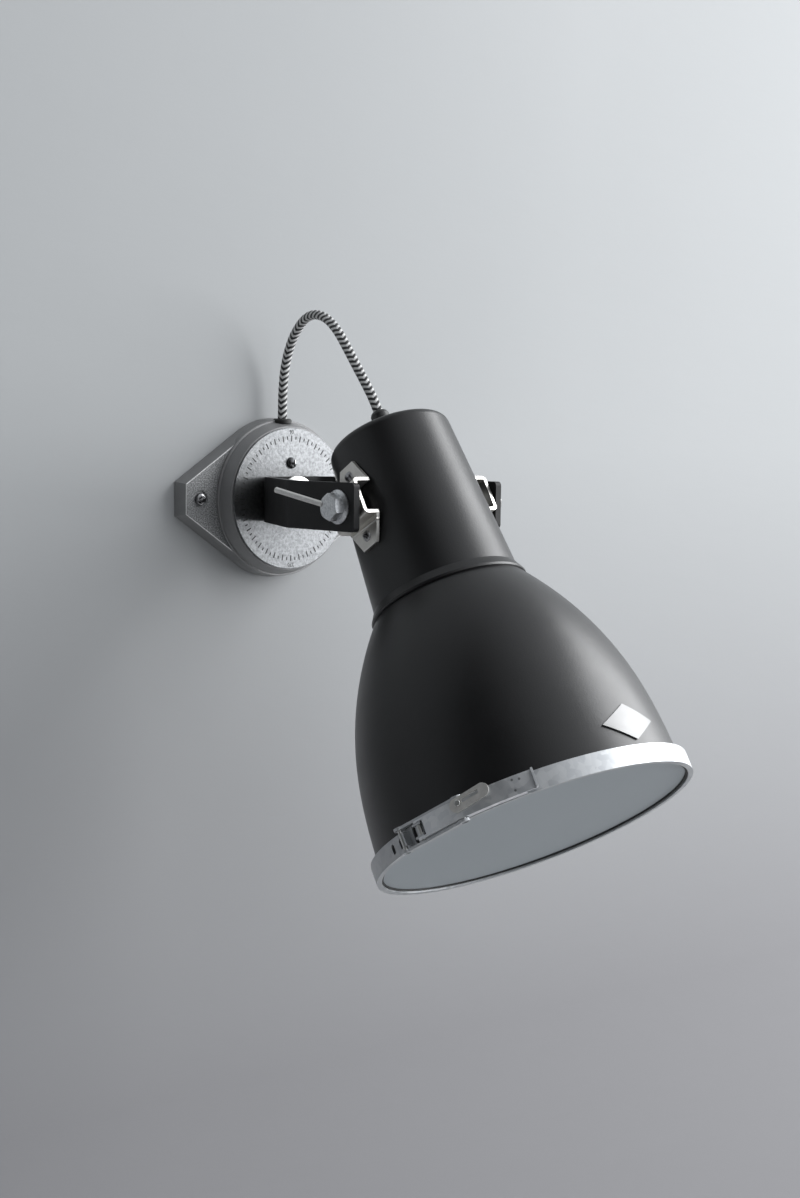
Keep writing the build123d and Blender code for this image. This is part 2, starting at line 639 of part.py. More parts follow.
# ---- lamp ----
def holder_bracket():
    """A strap across the neck with its feet on the inner flange."""
    half = JOINT_BORE_R + 1.5
    foot_top = NECK_LOW + JOINT_T
    path = Polyline((-half - BRACKET_FOOT + 1, foot_top + BRACKET_T / 2), (-half, foot_top + BRACKET_T / 2),
                    (-half, BRACKET_TOP - BRACKET_T / 2), (half, BRACKET_TOP - BRACKET_T / 2),
                    (half, foot_top + BRACKET_T / 2), (half + BRACKET_FOOT - 1, foot_top + BRACKET_T / 2))
    strap = extrude(Plane.XZ * trace(path, line_width=BRACKET_T), BRACKET_W / 2, both=True)
    strap -= Pos(0, 0, BRACKET_TOP - 5) * rod(5.0, 10)
    strap -= [Pos(x, 0, BRACKET_TOP - 5) * rod(1.6 + HOLE_PLAY, 10) for x in (-11, 11)]
    strap &= turned(section([(0, NECK_LOW), (NECK_LOW_R - NECK_WALL - CLEAR, NECK_LOW),
                             (neck_radius(BRACKET_TOP) - NECK_WALL - CLEAR, BRACKET_TOP + 1), (0, BRACKET_TOP + 1)]))
    return on_head(strap)


def lamp_holder():
    low = HOLDER_LOW
    high = BRACKET_TOP - BRACKET_T
    body = turned(section([(HOLDER_BORE_R, low), (HOLDER_R - 2, low), (HOLDER_R, low + 2), (HOLDER_R, high - 10),
                           (HOLDER_R - 5, high - 6), (HOLDER_R - 5, high), (0, high), (0, low + BULB_CAP_L + 1),
                           (HOLDER_BORE_R, low + BULB_CAP_L + 1)]))
    body -= [Pos(x, 0, high - 8) * rod(1.6 + SEAT, 10) for x in (-11, 11)]
    return on_head(body)


def holder_screws():
    one = domed_screw(3.0, 2.0, 1.6, BRACKET_T + 7)
    return [on_head(Pos(x, 0, BRACKET_TOP) * one) for x in (-11, 11)]


def bulb_cap():
    top = HOLDER_LOW + BULB_CAP_L
    body = section([(0, HOLDER_LOW - 2), (BULB_CAP_R, HOLDER_LOW - 2), (BULB_CAP_R, top - 6), (6, top), (0, top)])
    return on_head(turned(body))


def bulb_glass():
    top = HOLDER_LOW - 2
    low = top - BULB_L + BULB_CAP_L
    centre = low + BULB_R
    neck_r = BULB_CAP_R
    rise = sqrt(BULB_R ** 2 - (BULB_R - 4) ** 2)
    side = [
        ThreePointArc((0, low), (BULB_R * sin(pi / 4), centre - BULB_R * cos(pi / 4)), (BULB_R, centre)),
        ThreePointArc((BULB_R, centre), (BULB_R - 1.1, centre + rise / 2), (BULB_R - 4, centre + rise)),
        Line((BULB_R - 4, centre + rise), (neck_r, top)),
        Line((neck_r, top), (0, top)),
        Line((0, top), (0, low)),
    ]
    return on_head(turned(make_face(Plane.XZ * Wire(side))))


# ---- glass, gasket and clamp ring ----
def glass_disc():
    disc = Pos(0, 0, GLASS_LOW) * rod(GLASS_R - SEAT, GLASS_T)
    return on_head(chamfer(disc.edges(), 0.4))


def glass_gasket():
    """A channel of rubber round the glass's edge."""
    low, high = GASKET_LOW, GASKET_TOP
    inner = GLASS_R - GASKET_LIP
    profile = section([(GASKET_R, low), (GASKET_R, high), (inner, high), (inner, GLASS_LOW + GLASS_T),
                       (GLASS_R, GLASS_LOW + GLASS_T), (GLASS_R, GLASS_LOW), (inner, GLASS_LOW), (inner, low)])
    return on_head(turned(profile))


def clamp_ring():
    """A band of U section, split at the lever lock, with one end turned up as the bail's hook."""
    upper_lip = BELL_END_R + CLEAR
    profile = section([(RING_R, RING_LOW), (RING_R, RING_TOP), (upper_lip, RING_TOP), (upper_lip, LIP_TOP),
                       (RING_R - RING_T, LIP_TOP), (RING_R - RING_T, RING_LOW + RING_T),
                       (RING_R - RING_LIP, RING_LOW + RING_T), (RING_R - RING_LIP, RING_LOW)])
    band = Rot(0, 0, -GAP_FROM) * revolve(profile, Axis.Z, revolution_arc=FULL_TURN - GAP_TO + GAP_FROM)
    hook = rect_section(RING_R - RING_T, RING_R + HOOK_H, RING_LOW + 2, RING_TOP - 2)
    hook = swept(hook, HOOK_AT, HOOK_AT - 0.65)
    band += hook
    for angle in HOLE_AT:
        band -= round_at(angle, RING_R - 4, RING_MID) * Rot(0, 90, 0) * extrude(SlotOverall(HOLE_L, HOLE_W), 2 * HOLE_L)
    return on_head(band)


# ---- lever lock ----
def lock_pin(angle, low, high, radius=LOCK_PIN_R):
    return round_at(angle, PIN_RING_R, low) * rod(radius, high - low)


LEVER_LOW = RING_MID - LEVER_W / 2
LEVER_HIGH = RING_MID + LEVER_W / 2
BAIL_LOW = LEVER_LOW - BAIL_PLAY - BAIL_T
BAIL_HIGH = LEVER_HIGH + BAIL_PLAY + BAIL_T


def latch_pivot_bracket():
    """Two ears on a foot, welded to the ring's plain end, for the lever's pivot pin."""
    play = LEVER_T + CLEAR / 2
    low, high = LEVER_LOW + play, LEVER_HIGH - play
    half = EAR_SPAN / 2
    foot = swept(rect_section(RING_R, RING_R + 0.9, low, high), PIVOT_AT + half, PIVOT_AT - half)
    ears = rect_section(RING_R, PIN_RING_R + EAR_REACH, low, low + EAR_T)
    ears += rect_section(RING_R, PIN_RING_R + EAR_REACH, high - EAR_T, high)
    ears = swept(ears, PIVOT_AT + half / 1.4, PIVOT_AT - half / 1.4)
    bracket = foot + ears - lock_pin(PIVOT_AT, low - 1, high + 1, LOCK_PIN_R + SEAT)
    return on_head(bracket)


def latch_pivot_pin():
    return on_head(lock_pin(PIVOT_AT, LEVER_LOW - BAIL_PLAY / 2, LEVER_HIGH + BAIL_PLAY / 2))


def latch_lever():
    """A channel bent to the ring's curve, its sides carried past the web to the pivot."""
    low, high = LEVER_LOW, LEVER_HIGH
    web = swept(rect_section(LEVER_OUT_R - LEVER_T, LEVER_OUT_R, low, high), LEVER_WEB_FROM, LEVER_TO)
    lever = web
    for z1, z2 in ((low, low + LEVER_T), (high - LEVER_T, high)):
        lever += swept(rect_section(LEVER_IN_R, LEVER_OUT_R, z1, z2), PIVOT_AT, LEVER_TO + 3)
        ear = round_at(PIVOT_AT, PIN_RING_R, z1) * rod(LEVER_EAR_R, z2 - z1)
        lever += ear
    tip = section([(LEVER_OUT_R - LEVER_T, low), (LEVER_OUT_R + LEVER_TIP, low), (LEVER_OUT_R + LEVER_TIP, high),
                   (LEVER_OUT_R - LEVER_T, high)])
    tip = swept(tip, LEVER_TO, LEVER_TO - 0.65)
    lever += tip
    for z in (low - 1, high - LEVER_T - 1):
        lever -= round_at(PIVOT_AT, PIN_RING_R, z) * rod(LOCK_PIN_R + RUNNING, LEVER_T + 2)
        lever -= round_at(LINK_AT, PIN_RING_R, z) * rod(LOCK_PIN_R + SEAT, LEVER_T + 2)
    lever -= catch_place() * Pos(0, 0, -5) * rod(CATCH_RIVET_R + SEAT, 10)
    # the ring's own surface stays free under the lever's sides
    lever -= Pos(0, 0, low - 1) * rod(RING_R + CLEAR, LEVER_W + 2)
    return on_head(lever)


def cross_pin(angle):
    """Across both bars of the bail, its hollow ends rolled out into their dishes."""
    pin = lock_pin(angle, BAIL_LOW + BAIL_DISH_T, BAIL_HIGH - BAIL_DISH_T)
    pin -= lock_pin(angle, BAIL_LOW, BAIL_LOW + BAIL_DISH_T + PIN_HOLLOW_T, PIN_HOLLOW_R)
    pin -= lock_pin(angle, BAIL_HIGH - BAIL_DISH_T - PIN_HOLLOW_T, BAIL_HIGH, PIN_HOLLOW_R)
    return pin


def latch_link_pin():
    return on_head(cross_pin(LINK_AT))


def bail_bar(low):
    """A flat link along the chord from the lever's pin to the bail's cross pin."""
    a = round_at(LINK_AT, PIN_RING_R, low)
    b = round_at(BAIL_AT, PIN_RING_R, low)
    start, end = a.position, b.position
    run = end - start
    angle = degrees(atan2(run.Y, run.X))
    bar = Pos((start + end) / 2) * Rot(0, 0, angle) * Pos(0, 0, BAIL_T / 2) * Box(run.length, BAIL_W, BAIL_T)
    bar += a * rod(BAIL_EYE_R, BAIL_T) + b * rod(BAIL_EYE_R, BAIL_T)
    bar -= a * rod(LOCK_PIN_R + RUNNING, BAIL_T)
    bar -= b * rod(LOCK_PIN_R + SEAT, BAIL_T)
    outer = 0 if low < LEVER_LOW else BAIL_T - BAIL_DISH_T
    for place in (a, b):
        bar -= place * Pos(0, 0, outer) * rod(BAIL_DISH_R, BAIL_DISH_T)
    return bar


def bail_bars():
    return [on_head(bail_bar(BAIL_LOW)), on_head(bail_bar(BAIL_HIGH - BAIL_T))]


def bail_pin():
    return on_head(cross_pin(BAIL_AT))


def catch_place():
    """On the lever's face at the catch's rivet, its own Z pointing out."""
    height = RING_LOW + CATCH_OVERHANG
    return round_at(CATCH_AT, LEVER_OUT_R, height) * Rot(0, 90, 0)


def safety_catch():
    """A slotted oval plate that swings on its rivet over the lever's face."""
    # in the rivet's frame X runs down the shade and Y towards smaller angles
    oval = Pos(CATCH_DROP, CATCH_L / 2 - CATCH_BACK) * Rot(0, 0, 90) * SlotOverall(CATCH_L, CATCH_W)
    slot = Pos(0, CATCH_SLOT_L / 2 + CATCH_SLOT_FROM) * Rot(0, 0, 90) * SlotOverall(CATCH_SLOT_L, CATCH_SLOT_W)
    plate = extrude(oval - slot - Circle(CATCH_RIVET_R + RUNNING), CATCH_T)
    plate = Rot(0, 0, CATCH_TURN) * plate
    return on_head(catch_place() * Pos(0, 0, CLEAR) * plate)


def catch_rivet():
    shank = Pos(0, 0, -LEVER_T - 0.6) * rod(CATCH_RIVET_R, LEVER_T + 0.6 + CLEAR + CATCH_T + CLEAR)
    head = Pos(0, 0, CLEAR + CATCH_T + CLEAR) * rod(CATCH_HEAD_R, CATCH_HEAD_T)
    tail = Pos(0, 0, -LEVER_T - 0.6) * rod(CATCH_HEAD_R - 0.6, 0.45)
    rivet = shank + fillet(head.faces().sort_by(Axis.Z)[-1].edges(), CATCH_HEAD_T * 0.7) + tail
    return on_head(catch_place() * rivet)


# ---- badge ----
def badge_place():
    return round_at(BADGE_AT, BELL_END_R / 2, RING_LOW + BADGE_UP) * Rot(0, 90, 0)


def badge_plate():
    """A blank rhombus held off the bell; no lettering."""
    rhombus = make_face(Polyline((-BADGE_H / 2, 0), (0, -BADGE_W / 2), (BADGE_H / 2, 0), (0, BADGE_W / 2), close=True))
    blank = badge_place() * extrude(rhombus, BELL_END_R)
    return on_head((blank & bell_fill(BADGE_STAND + BADGE_T)) - bell_fill(BADGE_STAND))


def bell_side_at(height):
    """The bell's radius at a height, and how far its side leans out there, in degrees."""
    line = Spline(*bell_line(0))
    above, below = 0.0, 1.0
    for _ in range(40):
        middle = (above + below) / 2
        if (line @ middle).Y > height:
            above = middle
        else:
            below = middle
    at, run = line @ above, line % above
    return at.X, degrees(atan2(run.X, -run.Y))


def badge_rivets():
    """Two studs welded to the bell, under the plate."""
    height = RING_LOW + BADGE_UP
    radius, lean = bell_side_at(height)
    aside = degrees(asin(BADGE_W * 0.36 / radius))
    stud = Pos(0, 0, BADGE_SEAT) * rod(BADGE_RIVET_R, BADGE_STAND - 2 * BADGE_SEAT)
    return [on_head(round_at(BADGE_AT + turn, radius, height) * Rot(0, 90 - lean, 0) * stud)
            for turn in (-aside, aside)]


# ---- write every sub-part ----
def hinge_bracket_left():
    return hinge_bracket(-1)


def hinge_bracket_right():
    return hinge_bracket(1)


PIECES = [
    wall_base, dial_plate, dial_screw, swivel_bolt, swivel_friction_disc, swivel_cap_washer, swivel_nut,
    terminal_block, earth_screw, base_grommet, jumper_cord,
    yoke, pivot_washers, pivot_bolt_right, clamp_bolt, clamp_rod,
    neck_housing, hinge_bracket_left, hinge_bracket_right, hinge_nuts, bracket_screws, bracket_nuts,
    cord_grip, cord_grip_nut, shade_bell, joint_screws, joint_nuts,
    holder_bracket, lamp_holder, holder_screws, bulb_cap, bulb_glass,
    glass_disc, glass_gasket, clamp_ring,
    latch_pivot_bracket, latch_pivot_pin, latch_lever, latch_link_pin, bail_bars, bail_pin,
    safety_catch, catch_rivet, badge_plate, badge_rivets,
]


def main():
    os.makedirs("parts", exist_ok=True)
    for piece in PIECES:
        shape = piece()
        solids = shape if isinstance(shape, list) else [shape]
        export_step(Compound(children=[s for part in solids for s in part.solids()]), f"parts/{piece.__name__}.step")


main()
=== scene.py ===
"""Looks of the pivoting spotlight wall light: materials, painted and fastened details, cord, wall, light and camera."""
import json
import math

import bmesh
import bpy
from mathutils import Matrix, Vector


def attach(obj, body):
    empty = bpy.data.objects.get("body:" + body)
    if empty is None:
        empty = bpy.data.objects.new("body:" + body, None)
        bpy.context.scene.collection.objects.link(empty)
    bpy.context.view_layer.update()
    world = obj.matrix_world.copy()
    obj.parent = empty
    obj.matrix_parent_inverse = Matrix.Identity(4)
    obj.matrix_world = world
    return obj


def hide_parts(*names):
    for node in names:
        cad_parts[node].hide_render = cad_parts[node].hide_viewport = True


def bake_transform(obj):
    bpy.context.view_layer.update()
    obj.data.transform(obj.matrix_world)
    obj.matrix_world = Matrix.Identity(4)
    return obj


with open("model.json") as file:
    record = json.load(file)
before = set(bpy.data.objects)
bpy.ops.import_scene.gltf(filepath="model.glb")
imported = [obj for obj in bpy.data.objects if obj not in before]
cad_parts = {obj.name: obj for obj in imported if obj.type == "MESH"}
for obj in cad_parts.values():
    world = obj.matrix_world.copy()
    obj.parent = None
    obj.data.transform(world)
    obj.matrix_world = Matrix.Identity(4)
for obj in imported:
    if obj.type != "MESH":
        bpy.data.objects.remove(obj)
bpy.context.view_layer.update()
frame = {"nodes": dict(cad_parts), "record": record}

# ---- the same places as the solids, in metres ----
TILT = math.radians(31.5)
PIVOT = Vector((0, -0.169, 0))
HEAD = Matrix.Translation(PIVOT) @ Matrix.Rotation(-TILT, 4, "X")
DIAL_FRONT = 0.0242                 # out from the wall
EAR_FACE = 0.0102                   # out from the wall
EAR_HOLE = 0.075                    # either side of the swivel axis
EARS_FROM = (0.0600, 0.0612)        # off the swivel axis: the drum's end, the ears' begin
FOOT_BEND = (-0.052, -0.0007, -0.0170)  # in the head's frame, on a hinge bracket
LEVER_MARKS = [(-0.08572, -0.36635, -0.16133), (-0.08251, -0.36951, -0.16046), (-0.08580, -0.36992, -0.16732)]
MARK_REACH = 0.0011

# ---- wall screws ----
SCREW_R = 0.0046
SCREW_HIGH = 0.0030
SCREW_SLOT = 0.0011
SCREW_EDGE = 0.00015
SHANK_R = 0.0022
SHANK_IN_HEAD = 0.0002
SCREW_ROWS = [(1, 0), (1, 0.45), (0.93, 0.75), (0.75, 0.93), (0.4, 1)]  # radius and height, as parts of the head's
SCREW_TURNS = {-1: 0.5, 1: 1.2}     # side of the base: turn of the slot

# ---- dial marks ----
TICKS = 72
TICK_END_R = 0.0482
TICK_LONG, TICK_SHORT = 0.0046, 0.0024
SHORT_INSET = 0.0006                # a short tick ends this far inside a long one
TICK_HALF_WIDTH = 0.00052
TICK_THICK = 0.00044
TICK_DEEP = 0.0004                  # from the dial's face down to the paint's underside
FIGURE_R = 0.0508
FIGURE_SIZE = 0.0042
FIGURE_BOLD = 0.00006
FIGURE_PROUD = 0.00004

# ---- cord ----
CORD_D = 0.007
CORD_SIDES = 32
CORD_ROUTE = [                      # (Y, Z) in millimetres, from the base's grommet to the grip
    (-12.0, 56.0), (-12.0, 74.0), (-13.3, 93.0), (-18.0, 111.0), (-28.2, 127.8), (-43.8, 139.4),
    (-61.8, 138.6), (-77.6, 128.6), (-90.4, 114.2), (-102.0, 100.2), (-113.6, 86.6), (-123.54, 74.18),
    (-133.47, 57.98),
]
BRAID_YARNS = 16       # each way round the cord
BRAID_PITCH = 0.0185   # along the cord for one turn of a yarn
BRAID_STRIPE = 0.0044  # along the cord from one white stripe to the next
BRAID_ZIGS = 4         # half zigzags round the cord
BRAID_TURN = 0.61      # half zigzags that the points are turned by, to where the camera sees them
BRAID_REACH = 0.85     # stripes that a zigzag's point runs ahead


# ---- node helpers ----
class Nodes:
    """A material's node tree, with short calls for the nodes used here."""

    def __init__(self, name, **shader):
        self.material = bpy.data.materials.new(name)
        self.material.use_nodes = True
        self.tree = self.material.node_tree
        self.shader = self.tree.nodes["Principled BSDF"]
        for socket, value in shader.items():
            self.shader.inputs[socket.replace("_", " ")].default_value = value
        self.object_coords = None

    def add(self, kind, **settings):
        node = self.tree.nodes.new("ShaderNode" + kind)
        for key, value in settings.items():
            setattr(node, key, value)
        return node

    def feed(self, node, socket, value):
        """Links a socket, or sets a constant."""
        if isinstance(value, bpy.types.NodeSocket):
            self.tree.links.new(value, node.inputs[socket])
        elif value is not None:
            node.inputs[socket].default_value = value

    def coords(self, stretch=(1, 1, 1)):
        if self.object_coords is None:
            self.object_coords = self.add("TexCoord").outputs["Object"]
        if stretch == (1, 1, 1):
            return self.object_coords
        node = self.add("Mapping")
        self.feed(node, "Vector", self.object_coords)
        self.feed(node, "Scale", stretch)
        return node.outputs["Vector"]

    def part_of(self, vector, name):
        node = self.add("SeparateXYZ")
        self.feed(node, 0, vector)
        return node.outputs[name]

    def axis(self, name):
        return self.part_of(self.coords(), name)

    def facing(self, name):
        """One part of the surface's normal."""
        return self.part_of(self.add("TexCoord").outputs["Normal"], name)

    def off_axis(self):
        """Distance from the swivel axis."""
        x, z = self.axis("X"), self.axis("Z")
        return self.math("SQRT", self.math("ADD", self.math("MULTIPLY", x, x), self.math("MULTIPLY", z, z)))

    def from_point(self, operation, point):
        """The dot product with a direction, or the distance to a point."""
        node = self.add("VectorMath", operation=operation)
        self.feed(node, 0, self.coords())
        self.feed(node, 1, tuple(point))
        return node.outputs["Value"]

    def past(self, direction, point):
        """Distance past a point in a direction."""
        return self.math("SUBTRACT", self.from_point("DOT_PRODUCT", direction), direction.dot(point))

    def stripe(self, value, width):
        """1 where a distance is 0, falling to 0 at the width on both sides."""
        return self.spread(self.math("ABSOLUTE", value), 0.0, width, 1.0, 0.0)

    def near(self, point, reach):
        """1 at a point, falling to 0 at a distance."""
        return self.spread(self.from_point("DISTANCE", point), 0.0, reach, 1.0, 0.0)

    def noise(self, scale, detail=3.0, rough=0.5, stretch=(1, 1, 1)):
        node = self.add("TexNoise")
        self.feed(node, "Vector", self.coords(stretch))
        self.feed(node, "Scale", scale)
        self.feed(node, "Detail", detail)
        self.feed(node, "Roughness", rough)
        return node.outputs["Fac"]

    def cells(self, scale, output="Distance"):
        node = self.add("TexVoronoi")
        self.feed(node, "Vector", self.coords())
        self.feed(node, "Scale", scale)
        return node.outputs[output]

    def math(self, operation, a, b=None):
        node = self.add("Math", operation=operation)
        self.feed(node, 0, a)
        self.feed(node, 1, b)
        return node.outputs[0]

    def spread(self, value, low, high, to_low=0.0, to_high=1.0):
        """Maps low to to_low and high to to_high, and holds the ends."""
        node = self.add("MapRange")
        self.feed(node, "Value", value)
        self.feed(node, "From Min", low)
        self.feed(node, "From Max", high)
        self.feed(node, "To Min", to_low)
        self.feed(node, "To Max", to_high)
        return node.outputs["Result"]

    def blend(self, factor, a, b):
        """Mixes two colours, each a socket or (red, green, blue)."""
        node = self.add("Mix", data_type="RGBA")
        self.feed(node, 0, factor)
        for socket, value in ((6, a), (7, b)):
            self.feed(node, socket, value if isinstance(value, bpy.types.NodeSocket) else (*value, 1))
        return node.outputs[2]

    def colour(self, value):
        self.feed(self.shader, "Base Color", value)

    def roughness(self, value):
        self.feed(self.shader, "Roughness", value)

    def bump(self, *layers):
        """Each layer is (height, strength, distance in metres)."""
        normal = None
        for height, strength, distance in layers:
            node = self.add("Bump")
            self.feed(node, "Height", height)
            self.feed(node, "Strength", strength)
            self.feed(node, "Distance", distance)
            self.feed(node, "Normal", normal)
            normal = node.outputs["Normal"]
        self.feed(self.shader, "Normal", normal)


# ---- materials ----
def coat(name, dark, light, rough, cloud, *grains, **shader):
    """An even coat with a soft cloud in its colour and shine; each grain is (noise, strength, distance)."""
    m = Nodes(name, **shader)
    cloud = m.noise(*cloud)
    m.colour(m.blend(cloud, dark, light))
    m.roughness(m.spread(cloud, 0.3, 0.7, *rough))
    m.bump(*((m.noise(*grain), strength, distance) for grain, strength, distance in grains))
    return m.material


def metal(name, dark, light, rough, scale, bump=0.15, metallic=1.0):
    m = Nodes(name, Metallic=metallic, Roughness=rough)
    cloud = m.noise(scale, 4, 0.6)
    fine = m.noise(1600, 2)
    m.colour(m.blend(m.spread(cloud, 0.3, 0.7), dark, light))
    m.roughness(m.spread(cloud, 0.25, 0.75, rough - 0.07, rough + 0.09))
    m.bump((cloud, bump, 0.0002), (fine, bump * 0.6, 0.0001))
    return m.material


def cast_base():
    """Sand-textured on the ears' faces, with a painted highlight along their edges, and smoother enamel round the drum.
    """
    m = Nodes("cast_base", Metallic=0.25, Roughness=0.5)
    grain = m.noise(1000, 3, 0.65)
    pits = m.cells(700)
    patches = m.noise(26, 4, 0.6)
    beyond = m.spread(m.off_axis(), *EARS_FROM)
    front = m.facing("Y")
    ears = m.math("MULTIPLY", beyond, m.spread(front, -0.75, -0.9))
    # Painted highlight: a bright band where the ears' faces round over into their flanks, picked by the normal
    edge_highlight = m.math("MULTIPLY", m.spread(front, -0.975, -0.93), m.spread(front, -0.60, -0.70))
    edge_highlight = m.math("MULTIPLY", m.math("MULTIPLY", edge_highlight, beyond), m.spread(grain, 0.3, 0.5, 0.5, 1.0))
    smooth = m.blend(m.spread(patches, 0.3, 0.7), (0.205, 0.205, 0.208), (0.245, 0.246, 0.247))
    sandy = m.blend(m.spread(grain, 0.40, 0.64), (0.10, 0.103, 0.107), (0.36, 0.365, 0.365))
    m.colour(m.blend(edge_highlight, m.blend(ears, smooth, sandy), (0.80, 0.80, 0.80)))
    m.roughness(m.blend(ears, m.spread(grain, 0.3, 0.7, 0.40, 0.48), m.spread(grain, 0.3, 0.7, 0.62, 0.36)))
    rough_ears = m.math("MULTIPLY", ears, grain)
    m.bump((m.math("ADD", m.math("MULTIPLY", grain, 0.12), rough_ears), 0.6, 0.0005), (pits, 0.12, 0.0003))
    return m.material


def dial_silver():
    """Mottled silver paint, a little worn."""
    m = Nodes("dial_silver", Metallic=0.95, Roughness=0.33)
    mottle = m.noise(420, 4, 0.7)
    wear = m.noise(35, 4, 0.6)
    tone = m.blend(m.spread(mottle, 0.32, 0.60), (0.165, 0.170, 0.176), (0.300, 0.306, 0.311))
    m.colour(m.blend(m.spread(wear, 0.4, 0.8, 0, 0.3), tone, (0.20, 0.204, 0.209)))
    m.roughness(m.spread(mottle, 0.3, 0.7, 0.38, 0.28))
    m.bump((mottle, 0.35, 0.0003), (m.noise(1500, 2), 0.15, 0.0001))
    return m.material


def galvanised(name, dark, light, marks=()):
    """Zinc-coated sheet, with painted shade at the marks for small punched dents."""
    m = Nodes(name, Metallic=0.8, Roughness=0.40)
    spangle = m.add("RGBToBW")
    m.feed(spangle, 0, m.cells(260, "Color"))
    spangle = spangle.outputs[0]
    cloud = m.noise(35, 4, 0.6)
    tone = m.blend(m.spread(spangle, 0.2, 0.8), dark, light)
    tone = m.blend(m.spread(cloud, 0.35, 0.75, 0, 0.5), tone, dark)
    # Painted shade: dark spots at the marks, for the shade inside small punched dents
    dent_shade = 0.0
    for point in marks:
        dent_shade = m.math("ADD", dent_shade, m.near(point, MARK_REACH))
    if marks:
        tone = m.blend(m.spread(dent_shade, 0.1, 0.5, 0.0, 0.7), tone, (0.10, 0.10, 0.10))
    m.colour(tone)
    m.roughness(m.spread(spangle, 0.1, 0.9, 0.34, 0.48))
    m.bump((cloud, 0.12, 0.0003), (m.noise(1500, 2), 0.08, 0.0001))
    return m.material


def nickel():
    """Plated strip; the bend to each foot shows as a soft ridge."""
    m = Nodes("nickel", Metallic=1.0, Roughness=0.38)
    cloud = m.noise(80, 4, 0.6)
    lean = HEAD.to_3x3() @ Vector((0, -0.07, 1))
    ridge = m.stripe(m.past(lean, HEAD @ Vector(FOOT_BEND)), 0.0011)
    m.colour(m.blend(m.spread(cloud, 0.3, 0.7), (0.60, 0.585, 0.55), (0.74, 0.725, 0.69)))
    m.roughness(m.spread(cloud, 0.25, 0.75, 0.31, 0.46))
    m.bump((ridge, 0.9, 0.0006), (cloud, 0.15, 0.0002), (m.noise(1600, 2), 0.08, 0.0001))
    return m.material


def frosted_glass():
    m = Nodes("glass_frosted", Roughness=0.5, IOR=1.45, Transmission_Weight=0.3)
    grain = m.noise(2200, 2, 0.6)
    m.colour(m.blend(m.noise(14, 3, 0.5), (0.430, 0.474, 0.500), (0.455, 0.494, 0.520)))
    m.roughness(m.spread(grain, 0.3, 0.7, 0.42, 0.55))
    m.bump((grain, 0.12, 0.0001))
    return m.material


def braid():
    """A woven cord with black and white zigzags; UV is (metres along, turns round)."""
    m = Nodes("cord_braid", Roughness=0.85, Sheen_Weight=0.25, Sheen_Roughness=0.5)
    uv = m.add("UVMap", uv_map="braid").outputs["UV"]
    along, turn = m.part_of(uv, "X"), m.part_of(uv, "Y")

    def ridges(sign):
        """Height of the yarns that wind one way round."""
        climb = m.math("MULTIPLY", along, sign * BRAID_YARNS / BRAID_PITCH)
        across = m.math("FRACT", m.math("ADD", m.math("MULTIPLY", turn, float(BRAID_YARNS)), climb))
        return m.math("SUBTRACT", 1.0, m.math("ABSOLUTE", m.math("MULTIPLY", m.math("SUBTRACT", across, 0.5), 2.0)))

    yarns = m.math("MULTIPLY", m.math("SQRT", ridges(1.0)), m.math("SQRT", ridges(-1.0)))
    thread = m.noise(2600, 2, 0.6)
    thread_tone = m.spread(thread, 0.3, 0.7)
    zigzag = m.math("PINGPONG", m.math("ADD", m.math("MULTIPLY", turn, float(BRAID_ZIGS)), BRAID_TURN), 1.0)
    place = m.math("ADD", m.math("DIVIDE", along, BRAID_STRIPE), m.math("MULTIPLY", zigzag, BRAID_REACH))
    place = m.math("ADD", place, m.math("MULTIPLY", yarns, 0.14))
    wave = m.math("SINE", m.math("MULTIPLY", place, 2 * math.pi))
    light = m.blend(thread_tone, (0.68, 0.68, 0.67), (0.90, 0.90, 0.89))
    dark = m.blend(thread_tone, (0.008, 0.008, 0.009), (0.026, 0.026, 0.028))
    tone = m.blend(m.spread(wave, -0.02, 0.22), dark, light)
    # Painted shade in the grooves between the yarns: darker where the yarns' height is low
    m.colour(m.blend(m.spread(yarns, 0.0, 0.5, 0.55, 1.0), (0.02, 0.02, 0.02), tone))
    m.bump((yarns, 0.7, 0.0005), (thread, 0.35, 0.0002))
    return m.material


POWDER_GRAIN = (((950, 2, 0.5), 0.22, 0.00022), ((3200, 1), 0.12, 0.0001))

